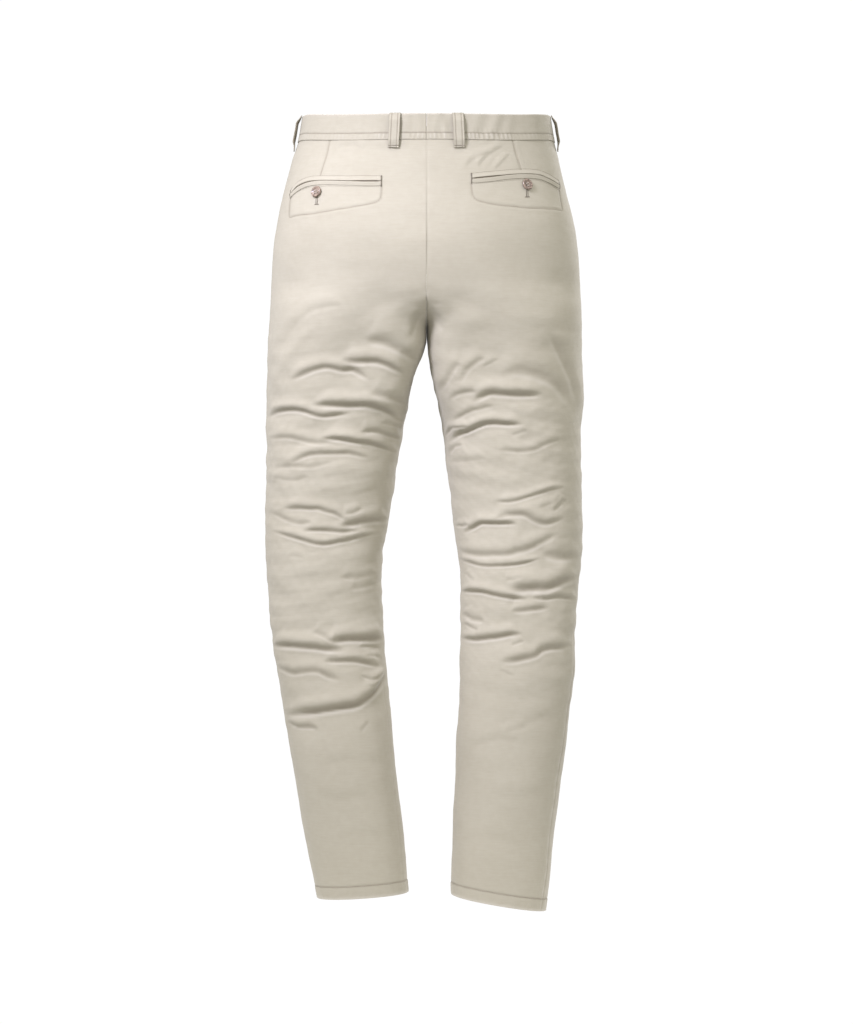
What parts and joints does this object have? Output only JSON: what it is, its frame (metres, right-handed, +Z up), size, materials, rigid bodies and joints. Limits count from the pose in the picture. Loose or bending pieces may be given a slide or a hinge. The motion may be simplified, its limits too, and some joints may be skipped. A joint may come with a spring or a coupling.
{
  "type": "chino trousers",
  "caption": "Straight-leg stone chino trousers, filled out as when worn, with belt loops, slant front pockets and buttoned double-welt back pockets.",
  "frame": {"origin": "centre of the waistband's ring, halfway up the waistband, where the wearer's waist holds the trousers", "axes": "+Z up along the wearer, +X to the wearer's left, the front of the trousers faces -Y; nodes named left and right are the wearer's"},
  "size_m": [0.4192, 0.2621, 1.0428],
  "materials": {
    "cotton": "matte cotton twill",
    "button": "polished imitation horn"
  },
  "bodies": {
    "root": {"back_panel_left": "cotton", "front_panel_left": "cotton", "pocket_facing_left": "cotton", "waistband_left": "cotton", "belt_loop_back_left": "cotton", "belt_loop_side_left": "cotton", "belt_loop_front_left": "cotton", "upper_welt_left": "cotton", "lower_welt_left": "cotton", "pocket_button_left": "button", "back_panel_right": "cotton", "front_panel_right": "cotton", "pocket_facing_right": "cotton", "waistband_right": "cotton", "belt_loop_back_right": "cotton", "belt_loop_side_right": "cotton", "belt_loop_front_right": "cotton", "upper_welt_right": "cotton", "lower_welt_right": "cotton", "pocket_button_right": "button", "fly_shield": "cotton", "waist_button": "button"}
  },
  "joints": []
}
